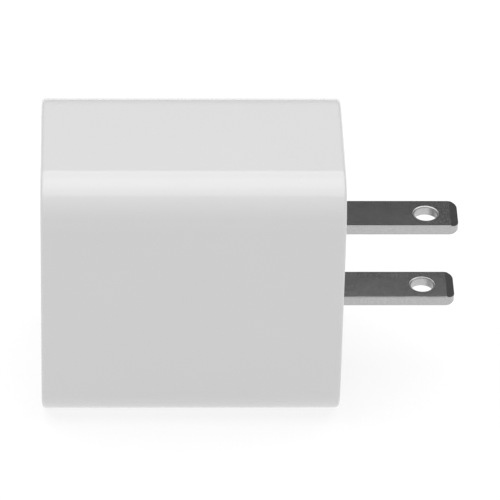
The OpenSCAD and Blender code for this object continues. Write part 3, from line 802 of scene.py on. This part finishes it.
def blade(name, node, middle_z):
    half, tip = BLADE_HALF_Y, (reach - TIP_R, BLADE_HALF_Y - TIP_R)
    lower = [
        (blade_low.x, -TAIL_HALF), (shoulder_x, -TAIL_HALF), (shoulder_x, -shoulder_half),
        (seat_x, -shoulder_half), (seat_x, -half),
    ] + arc((tip[0], -tip[1]), TIP_R, -90, 90, 14)
    upper = [(u, -v) for u, v in reversed(lower)]
    hole = arc((HOLE_X, 0), HOLE_R, 0, 360, 72)
    mesh = bmesh.new()
    push(
        mesh, lower + upper, middle_z - blade_half_t, middle_z + blade_half_t,
        lambda u, v, w: (u, v, w), [hole], BLADE_EDGE, HOLE_EDGE,
    )
    bmesh.ops.remove_doubles(mesh, verts=mesh.verts, dist=SAME_POINT)
    for side in (1, -1):
        parts = [*mesh.verts, *mesh.edges, *mesh.faces]
        start = (reach - SLOPE_LENGTH, 0, middle_z + side * blade_half_t)
        away = (SLOPE_DEPTH, 0, side * SLOPE_LENGTH)
        bmesh.ops.bisect_plane(
            mesh, geom=parts, dist=ON_PLANE, plane_co=start, plane_no=away, clear_outer=True
        )
        rim = [edge for edge in mesh.edges if edge.is_boundary]
        bmesh.ops.holes_fill(mesh, edges=rim, sides=0)
    made = as_object(name, mesh)
    made.data.materials.append(FINISH["blade_nickel"])
    made.data.materials.append(punched)
    for face in made.data.polygons:
        from_hole = math.hypot(face.center.x - HOLE_X, face.center.y)
        if from_hole < HOLE_R + HOLE_EDGE and abs(face.normal.z) < LEVEL:
            face.material_index = 1
    hand_over(made, node)


punched = nickel_plate("punched_nickel", colour(0.5, 0.5, 0.5), roughness=0.28)
blade("blade_upper_strip", "blade_upper", blade_z)
blade("blade_lower_strip", "blade_lower", -blade_z)

# %% [markdown]
# ## The port
#
# The USB-C receptacle is a flat tube of thin steel with round ends. Its mouth is rolled, so
# that a plug slides in without scraping. A solid with a hole would show a sharp rim, so the
# tube is lofted from rings like the casing, with a half circle of rings for the rolled mouth.
# Its four legs pass through the upright board.

# %% Port shell
SHEET = 0.3 * MM
LIP = SHEET / 2
LEG_WIDTH = 1.0 * MM
LEG_LAP = 1.0 * MM
LEG_CORNER = 0.25 * MM
LEG_EDGE = 0.03 * MM
tube_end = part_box("port_board")[0].x - HAIR


def tube_ring(x, inset):
    half_y = port_half_y - inset
    return [(x, y, z) for y, z in rounded(half_y, port_half_z - inset, half_y, steps=20)]


rings = [tube_ring(tube_end, 0.0)]
for turn in range(0, 181, 15):
    a = math.radians(turn)
    rings.append(tube_ring(shell_low.x + LIP * (1 - math.sin(a)), LIP * (1 - math.cos(a))))
rings.append(tube_ring(tube_end, SHEET))
mesh = bmesh.new()
join_rings(mesh, rings, closed=True)
port_shell = as_object("port_shell", mesh)

leg_x = (tube_end - LEG_LAP, shell_high.x)
leg_z = port_half_z - port_half_y - LEG_WIDTH / 2
for side_y in (1, -1):
    for side_z in (1, -1):
        mesh = bmesh.new()
        centre = (sum(leg_x) / 2, side_z * leg_z)
        leg = rounded((leg_x[1] - leg_x[0]) / 2, LEG_WIDTH / 2, LEG_CORNER, centre, 4)
        middle_y = side_y * (port_half_y - SHEET / 2)
        push(
            mesh, leg, middle_y - SHEET / 2, middle_y + SHEET / 2,
            lambda u, v, w: (u, w, v), edge=LEG_EDGE,
        )
        combine(port_shell, as_object("leg", mesh))
hand_over(port_shell, "usb_shell")

# %% [markdown]
# ## The transformer
#
# Two ferrite halves, each with a back, two outer legs and half of a round middle leg, close
# around a bobbin. The bobbin holds the wound wire under a layer of yellow tape. The wire is a
# profile of half-round turns spun about the axis, which is how a single layer looks, and the
# tape is a thin ring with a small step where its end lies over its start.

# %% Transformer sizes
core_low, core_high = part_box("transformer_core_lower")
core_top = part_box("transformer_core_upper")[0].y
bobbin_low, bobbin_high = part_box("transformer_bobbin")
coil_low, coil_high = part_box("transformer_coil")
tape_low, tape_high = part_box("transformer_tape")
axis_x = (bobbin_low.x + bobbin_high.x) / 2
axis_z = (bobbin_low.z + bobbin_high.z) / 2
CORE_BACK = 2.4 * MM
CORE_LEG = 2.2 * MM
MIDDLE_LEG = 2.3 * MM
CORE_EDGE = 0.18 * MM
CORE_CHAMFER = 0.15 * MM
BARREL = 3.0 * MM


def about_axis(u, v, w):
    """The transformer's axis runs along Y."""
    return (axis_x + u, w, axis_z + v)


# %% Transformer core
def core_half(name, node, back_y, rim_y):
    """An E-shaped drawing pushed along X, and a round middle leg joined to its back."""
    half = (core_high.z - core_low.z) / 2
    depth = abs(back_y - rim_y)
    flip = 1 if rim_y > back_y else -1
    outline = [
        (-half, 0), (half, 0), (half, depth), (half - CORE_LEG, depth), (half - CORE_LEG, CORE_BACK),
        (CORE_LEG - half, CORE_BACK), (CORE_LEG - half, depth), (-half, depth),
    ]
    mesh = bmesh.new()
    push(
        mesh, outline, core_low.x, core_high.x,
        lambda u, v, w: (w, back_y + flip * v, axis_z + u), edge=CORE_EDGE,
    )
    core = as_object(name, mesh)
    mesh = bmesh.new()
    profile = [(0, CORE_BACK / 2), (MIDDLE_LEG, CORE_BACK / 2)]
    profile += [(MIDDLE_LEG, depth - CORE_CHAMFER), (MIDDLE_LEG - CORE_CHAMFER, depth), (0, depth)]
    spin(mesh, profile, lambda u, v, w: about_axis(u, v, back_y + flip * w), steps=48)
    combine(core, as_object("middle_leg", mesh))
    hand_over(core, node)


core_half("core_half_lower", "transformer_core_lower", core_high.y, core_low.y)
core_half("core_half_upper", "transformer_core_upper", core_top, core_low.y - HAIR)

# %% Bobbin, wire and tape
FLANGE = 0.6 * MM
BARREL_GAP = 0.1 * MM
barrel_in = MIDDLE_LEG + BARREL_GAP
flange_out = (bobbin_high.x - bobbin_low.x) / 2
rim = [
    (flange_out - FLANGE / 2 + FLANGE / 2 * math.sin(a), -FLANGE / 2 * math.cos(a))
    for a in (math.radians(180 * i / EDGE_STEPS) for i in range(EDGE_STEPS + 1))
]
profile = [(barrel_in, bobbin_low.y)]
profile += [(r, bobbin_low.y + FLANGE / 2 + h) for r, h in rim] + [(BARREL, bobbin_low.y + FLANGE)]
profile += [(BARREL, bobbin_high.y - FLANGE)]
profile += [(r, bobbin_high.y - FLANGE / 2 + h) for r, h in rim] + [(barrel_in, bobbin_high.y)]
mesh = bmesh.new()
spin(mesh, profile, about_axis, steps=96)
hand_over(as_object("bobbin_spool", mesh), "transformer_bobbin")

TURNS = 22
TURN_STEPS = 6
coil_out = (coil_high.x - coil_low.x) / 2
pitch = (coil_high.y - coil_low.y) / TURNS
wire_side = [
    (
        coil_out - pitch / 2 * (1 - math.sin(math.pi * (i + 0.5) / TURN_STEPS)),
        coil_low.y + pitch * (turn + 0.5 - 0.5 * math.cos(math.pi * (i + 0.5) / TURN_STEPS)),
    )
    for turn in range(TURNS) for i in range(TURN_STEPS)
]
profile = [(BARREL + HAIR, coil_low.y)] + wire_side + [(BARREL + HAIR, coil_high.y)]
mesh = bmesh.new()
spin(mesh, profile, about_axis, steps=96)
hand_over(as_object("transformer_wire", mesh), "transformer_coil", sharp=SHARP_SPUN)

TAPE_STEP = 0.05 * MM
LAP_START = 200
LAP_SWEEP = 30
LAP_EASE = 0.2
tape_out = (tape_high.x - tape_low.x) / 2
outline = arc((0, 0), tape_out, LAP_START, LAP_SWEEP, 10)
outline += arc(
    (0, 0), tape_out - TAPE_STEP, LAP_START + LAP_SWEEP + LAP_EASE,
    360 - LAP_SWEEP - 2 * LAP_EASE, 90,
)
inside = arc((0, 0), coil_out + HAIR, 0, 360, 96)
mesh = bmesh.new()
push(mesh, outline, tape_low.y, tape_high.y, about_axis, [inside])
hand_over(as_object("yellow_tape", mesh), "transformer_tape")

# %% [markdown]
# ## Capacitors
#
# Each input capacitor is an aluminium can in a shrunk plastic sleeve. Heat draws the sleeve in
# at the can's rolled groove and over its rim. Its profile is spun: straight sides with a soft
# neck at the groove, a rounded shoulder, and a flat lip around the vent.

# %% Capacitor sleeves
SLEEVE = 0.15 * MM
LIP_WIDTH = 1.0 * MM
NECK_UP = 1.8 * MM
NECK_HALF = 0.6 * MM
NECK_DEPTH = 0.2 * MM
NECK_STEPS = 12
for number in (1, 2):
    low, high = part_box(f"input_capacitor_sleeve_{number}")
    centre_x, centre_z = (low.x + high.x) / 2, (low.z + high.z) / 2
    radius = (high.x - low.x) / 2
    top = high.y - low.y
    neck = [
        (
            -NECK_DEPTH / 2 * (1 - math.cos(2 * math.pi * i / NECK_STEPS)),
            NECK_UP + NECK_HALF * (2 * i / NECK_STEPS - 1),
        )
        for i in range(NECK_STEPS + 1)
    ]
    shoulder = arc((radius - SLEEVE, top - SLEEVE), SLEEVE, 0, 90, 6)
    wall = radius - SLEEVE
    profile = [(radius, 0)] + [(radius + r, h) for r, h in neck] + shoulder
    profile += [(wall - LIP_WIDTH, top), (wall - LIP_WIDTH, top - SLEEVE), (wall, top - SLEEVE)]
    profile += [(wall + r, h) for r, h in reversed(neck)] + [(wall, 0)]
    mesh = bmesh.new()
    spin(mesh, profile, lambda u, v, w: (centre_x + u, high.y - w, centre_z + v), steps=72)
    sleeve = as_object(f"shrunk_sleeve_{number}", mesh)
    hand_over(sleeve, f"input_capacitor_sleeve_{number}", sharp=SHARP_SPUN)

# %% [markdown]
# ## The choke
#
# The choke is a coated ring with two windings of thick enamelled wire on opposite sides. A
# sleeve stands for each winding in the frame. Here each one is a real wire: its path climbs
# round the ring's section while it steps along the ring, and a circle is swept along it. On the
# ring's inner side neighbouring turns run into each other by about 0.1 mm, a known fault.


# %% Swept wire
SIDES = 10
FIRST_SIDE = Vector((0.3, 0.5, 0.8))


def sweep(mesh, path, radius):
    """A round wire along a path of points, closed at both ends."""
    side = FIRST_SIDE
    rings = []
    for i, here in enumerate(path):
        ahead = (path[min(i + 1, len(path) - 1)] - path[max(i - 1, 0)]).normalized()
        side = (side - ahead * side.dot(ahead)).normalized()
        across = ahead.cross(side)
        turns = [2 * math.pi * k / SIDES for k in range(SIDES)]
        rings.append([here + radius * (math.cos(a) * side + math.sin(a) * across) for a in turns])
    loops = join_rings(mesh, rings)
    mesh.faces.new(loops[0])
    mesh.faces.new(loops[-1])


# %% Choke windings
WIRE = 0.36 * MM
WINDS = 8
SPREAD = math.radians(104)
RING_OUT = 5.5 * MM
RING_IN = 0.42 * RING_OUT
SECTION_CORNER = 0.35 * MM
left_low, left_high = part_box("choke_winding_left")
right_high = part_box("choke_winding_right")[1]
ring_y = (left_low.y + left_high.y) / 2
ring_z = (left_low.z + right_high.z) / 2
ring_x = (left_low.x + left_high.x) / 2
half_axial = (left_high.x - left_low.x) / 2 - WIRE
half_radial = (RING_OUT - RING_IN) / 2 - WIRE
section = rounded(half_axial, half_radial, SECTION_CORNER, (0, (RING_OUT + RING_IN) / 2), 9)
for name, facing in (("left", -math.pi / 2), ("right", math.pi / 2)):
    path = []
    for i in range(WINDS * len(section)):
        along, radial = section[i % len(section)]
        angle = facing + SPREAD * (i / (WINDS * len(section) - 1) - 0.5)
        y = ring_y + radial * math.cos(angle)
        path.append(Vector((ring_x + along, y, ring_z + radial * math.sin(angle))))
    mesh = bmesh.new()
    sweep(mesh, path, WIRE)
    winding = as_object(f"choke_wire_{name}", mesh)
    hand_over(winding, f"choke_winding_{name}", sharp=SHARP_WIRE)

# %% [markdown]
# ## Fuse, optocoupler and pad
#
# These are plain moulded or cut blocks with soft edges. Each is its own drawing pushed to its
# height. The thermal pad has the widest rounding, because it is soft and pressed flat.

# %% Moulded blocks
BLOCKS = (
    ("fuse_body", "fuse", 0.8, 0.3),
    ("optocoupler_body", "optocoupler", 0.25, 0.15),
    ("soft_pad", "thermal_pad", 0.5, 0.35),
)
for name, node, corner, edge in BLOCKS:
    low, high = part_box(node)
    centre = ((low.x + high.x) / 2, (low.z + high.z) / 2)
    outline = rounded((high.x - low.x) / 2, (high.z - low.z) / 2, corner * MM, centre, 8)
    mesh = bmesh.new()
    push(mesh, outline, low.y, high.y, lambda u, v, w: (u, w, v), edge=edge * MM)
    hand_over(as_object(name, mesh), node)

# %% [markdown]
# ## Chips
#
# A power chip is a moulded body with bent tin legs. The legs leave the body at half height,
# step down and end in flat feet on the board. Each leg is its side view pushed across its
# width, and a boolean joins all of them to the body. Faces beyond the body's sides are tin.
#
# On the two chips of the upright board this goes wrong, which is a known fault: the join loses
# their legs and leaves their bodies with the faces turned inwards.


# %% Chips with bent legs
CHIP_CORNER = 0.08 * MM
CHIP_EDGE = 0.08 * MM
CHIP_LIFT = 0.1 * MM
BOTH_LEGS = 1.0 * MM
LEG_SHARE = 0.4
BEND_EDGE = 0.02 * MM
PAST_SIDE = 0.01 * MM


def leg_outline(side):
    """The side view of one leg, from the body's side outwards."""
    path = [
        (-0.1, 0.40), (0.12, 0.40), (0.2, 0.32), (0.2, 0.0), (0.5, 0.0),
        (0.5, 0.15), (0.35, 0.15), (0.35, 0.47), (0.27, 0.55), (-0.1, 0.55),
    ]
    return [(side + across * MM, up * MM) for across, up in path]


def chip(name, node, length, width, height, legs, place):
    """place turns (along, across, up) from the middle of the chip's foot into a point."""
    mesh = bmesh.new()
    body = rounded(length / 2, width / 2, CHIP_CORNER, steps=4)
    push(mesh, body, CHIP_LIFT, height, place, edge=CHIP_EDGE)
    made = as_object(name, mesh)
    mesh = bmesh.new()
    pitch = length / legs
    for flip in (1, -1):
        for number in range(legs):
            start = (number + (1 - LEG_SHARE) / 2) * pitch - length / 2
            push(
                mesh, leg_outline(width / 2), start, start + LEG_SHARE * pitch,
                lambda u, v, w: place(w, flip * u, v), edge=BEND_EDGE,
            )
    combine(made, as_object("legs", mesh))
    middle = Vector(place(0, 0, 0))
    across = (Vector(place(0, 1, 0)) - middle).normalized()
    made.data.materials.append(FINISH[slot_of[node]])
    made.data.materials.append(FINISH["lead_tin"])
    for face in made.data.polygons:
        if abs((face.center - middle).dot(across)) > width / 2 + PAST_SIDE:
            face.material_index = 1
    hand_over(made, node)


for node, legs in (("bridge_rectifier", 2), ("power_switch", 4)):
    low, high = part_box(node)
    middle = (low + high) / 2
    chip(
        f"{node}_chip", node, high.x - low.x, high.z - low.z - BOTH_LEGS, high.y - low.y, legs,
        lambda u, v, w: (middle.x + u, low.y + w, middle.z + v),
    )
for node, legs in (("sync_rectifier", 4), ("charge_controller", 6)):
    low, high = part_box(node)
    middle = (low + high) / 2
    chip(
        f"{node}_chip", node, high.z - low.z, high.y - low.y - BOTH_LEGS, high.x - low.x, legs,
        lambda u, v, w: (low.x + w, middle.y + v, middle.z + u),
    )

# %% [markdown]
# ## Solder
#
# Solder wets the pad and creeps up the wire, so a good joint is a hollow cone with a thin
# edge. The joints stand where the wires pass the board. Their places are found in the wires'
# own mesh: points that lie within one wire's width belong to the same wire.

# %% Solder joints
solder_low, solder_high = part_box("solder_joints")
WIRE_R = 0.35 * MM
JOINT_R = 0.9 * MM
CONE_EDGE = 0.12 * MM
CREEP = 2.4
SLOPE_STEPS = 8
places = []
for vert in frame["nodes"]["component_leads"].data.vertices:
    here = Vector((vert.co.x, vert.co.z))
    group = next((group for group in places if (group[0] - here).length < 3 * WIRE_R), None)
    if group:
        group.append(here)
    else:
        places.append([here])
centres = []
for group in places:
    across, up = [(min(axis) + max(axis)) / 2 for axis in zip(*group)]
    centres.append((across, up))
mesh = bmesh.new()
rise = solder_high.y - solder_low.y
slope = [
    (
        WIRE_R + CONE_EDGE + (JOINT_R - WIRE_R - CONE_EDGE) * (1 - i / SLOPE_STEPS) ** CREEP,
        rise * i / SLOPE_STEPS,
    )
    for i in range(SLOPE_STEPS + 1)
]
profile = slope + [(WIRE_R + HAIR, rise), (WIRE_R + HAIR, 0)]
for centre in centres:
    spin(
        mesh, profile,
        lambda u, v, w: (centre[0] + u, solder_low.y + w, centre[1] + v), steps=28,
    )
hand_over(as_object("solder_cones", mesh), "solder_joints", sharp=SHARP_SPUN)
print(len(centres), "solder joints")

# %% [markdown]
# ## Finishes for everything else
#
# The remaining nodes have the right shape already, so they keep their frame mesh and only take
# the finish of their slot.

# %% Dress the frame's own nodes
for node, made in frame["nodes"].items():
    for place in made.material_slots:
        place.material = FINISH[slot_of[node]]
print(len(FINISH), "finishes")

# %% [markdown]
# ## The studio
#
# The charger lies on its narrow side on a white table, which also shines a little by itself to
# stay white. Four flat lamps of different brightness hang over it side by side, and together act
# as one wide softbox. Its mirror image is the bright band along the rounded edge, and it ends
# where that band ends. The room is pale in front and dark behind, so the blades, which mirror
# the room behind, come out a darker grey than the white table.

# %% Table
TABLE = 5.0
TABLE_SHINE = 0.76
mesh = bmesh.new()
corners = [(-TABLE, -TABLE), (TABLE, -TABLE), (TABLE, TABLE), (-TABLE, TABLE)]
mesh.faces.new([mesh.verts.new((x, y, casing_low.z - HAIR)) for x, y in corners])
table = as_object("table", mesh)
nodes = new_finish("white_table", Roughness=0.9, IOR=1.3)
paper = nodes.noise(0.8, detail=2.0)
nodes.fill(
    nodes.shader,
    {
        "Base Color": nodes.blend(paper, colour(0.24, 0.24, 0.24), colour(0.25, 0.25, 0.25)),
        "Emission Color": colour(1, 1, 1),
        "Emission Strength": TABLE_SHINE,
    },
)
table.data.materials.append(nodes.material)


# %% Lamps and room
LAMP_HEIGHT = 1.2
LAMP_WIDTH = 3.2
STRIPS = ((52, 25, 1.27), (25, -4, 1.77), (-4, -18, 1.2), (-18, -24.5, 1.05))


def softbox(name, far, near, brightness):
    """A flat, level lamp above, from far to near in degrees behind the vertical."""
    edges = [LAMP_HEIGHT * math.tan(math.radians(angle)) for angle in (near, far)]
    lamp = bpy.data.lights.new(name, "AREA")
    lamp.shape = "RECTANGLE"
    lamp.size = LAMP_WIDTH
    lamp.size_y = edges[1] - edges[0]
    lamp.energy = brightness * math.pi * lamp.size * lamp.size_y
    holder = bpy.data.objects.new(name, lamp)
    holder.location = (0, sum(edges) / 2, LAMP_HEIGHT)
    bpy.context.scene.collection.objects.link(holder)


for number, strip in enumerate(STRIPS):
    softbox(f"softbox_{number}", *strip)

PALE_BEFORE = -0.55
DARK_BEYOND = 0.75
world = bpy.data.worlds.new("room")
bpy.context.scene.world = world
world.use_nodes = True
nodes = Nodes(world.node_tree)
direction = nodes.add("ShaderNodeTexCoord", output="Generated")
split = nodes.axis(direction, "Y")
behind = nodes.step(split, PALE_BEFORE, DARK_BEYOND)
room = nodes.blend(behind, colour(0.68, 0.68, 0.68), colour(0.13, 0.13, 0.13))
nodes.fill(world.node_tree.nodes["Background"], {"Color": room, "Strength": 1.0})

# %% [markdown]
# ## The camera
#
# A long lens keeps the charger's edges nearly parallel. The camera stands in front of the port
# end, looks down on the charger, and is turned a little about its own upright axis to bring
# the whole charger into view, so it needs no lens shift. It has no depth of field.

# %% Camera
FACING = Vector((-35.84, 0.0, 0.58)) * MM
DISTANCE = 683.0 * MM
ELEVATION = math.radians(36.15)
TURN = math.radians(1.92)
eye = FACING + DISTANCE * Vector((0, -math.cos(ELEVATION), math.sin(ELEVATION)))
camera = bpy.data.objects.new("camera", bpy.data.cameras.new("camera"))
camera.data.lens = 340.6
camera.data.sensor_width = 36
camera.data.clip_end = 50
tilt = Matrix.Rotation(math.pi / 2 - ELEVATION, 4, "X")
camera.matrix_world = Matrix.Translation(eye) @ tilt @ Matrix.Rotation(-TURN, 4, "Y")
bpy.context.scene.collection.objects.link(camera)
bpy.context.scene.camera = camera
bpy.context.scene.view_settings.view_transform = "Standard"
print("camera at", eye)
